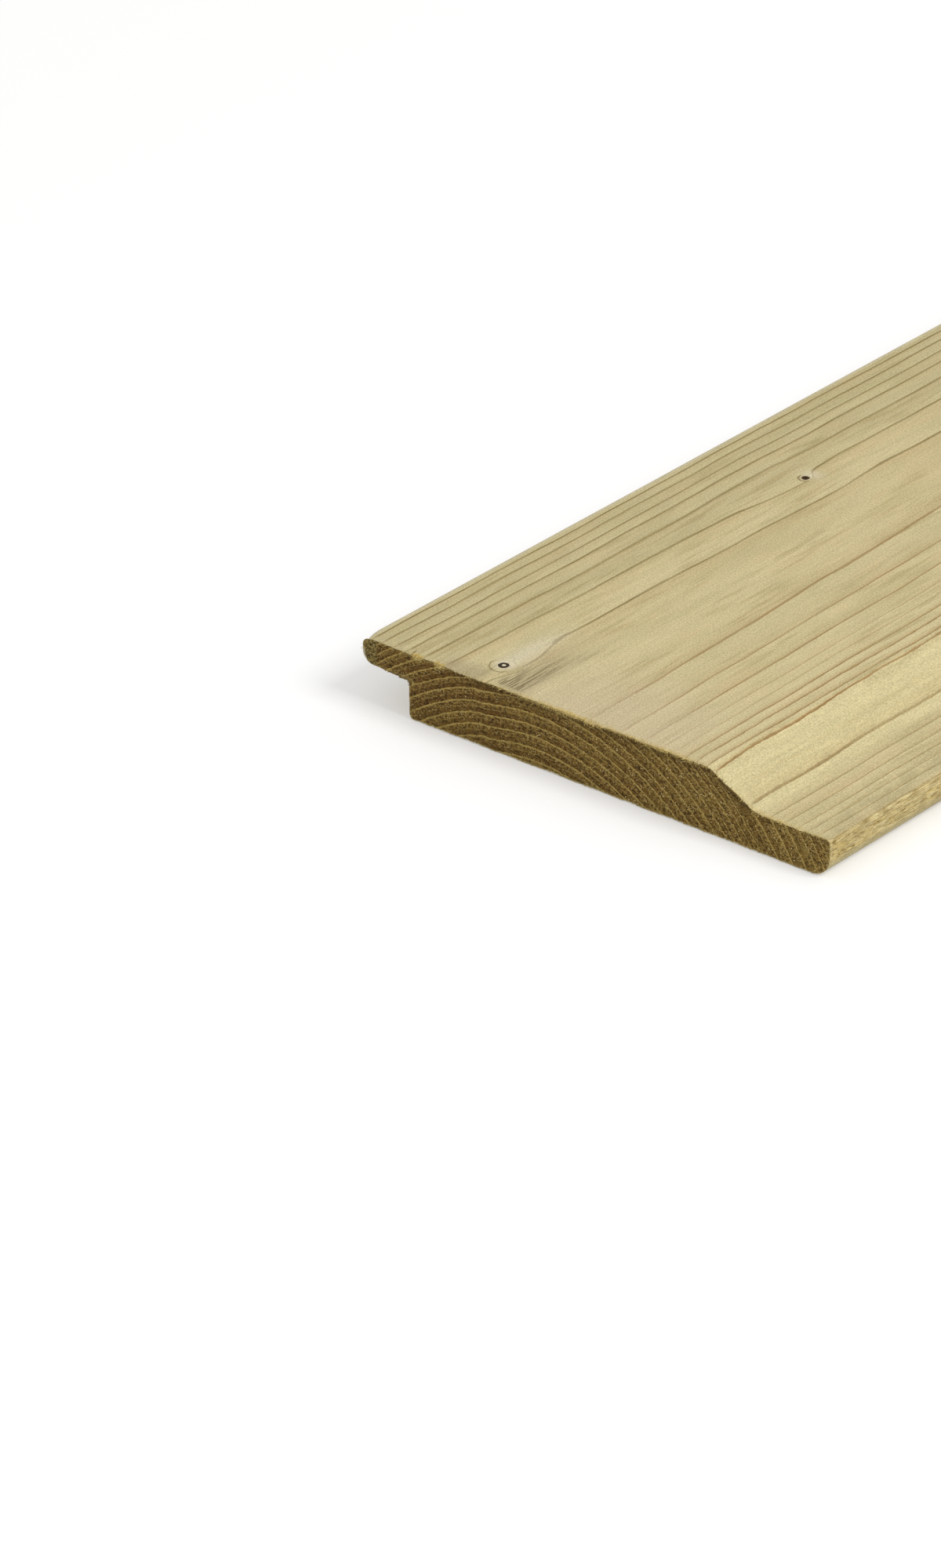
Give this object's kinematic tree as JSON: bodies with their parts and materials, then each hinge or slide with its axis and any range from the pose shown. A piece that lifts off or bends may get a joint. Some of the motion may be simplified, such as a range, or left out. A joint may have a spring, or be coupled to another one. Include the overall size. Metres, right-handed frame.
{
  "type": "shiplap cladding board",
  "caption": "Planed softwood cladding board with a rounded lip over a back rebate on one edge and a tongue under a cove on the other.",
  "frame": {"origin": "middle of the back face, at mid length, on the level the board lies on", "axes": "+Y along the board and its grain, +X from the lip edge to the tongue edge, +Z out of the weather face"},
  "size_m": [0.145, 1.8, 0.018],
  "materials": {
    "planed_softwood": "planed, pressure-treated pale green-tan softwood, fine sawn ends"
  },
  "bodies": {
    "root": {"shiplap_board": "planed_softwood"}
  },
  "joints": []
}
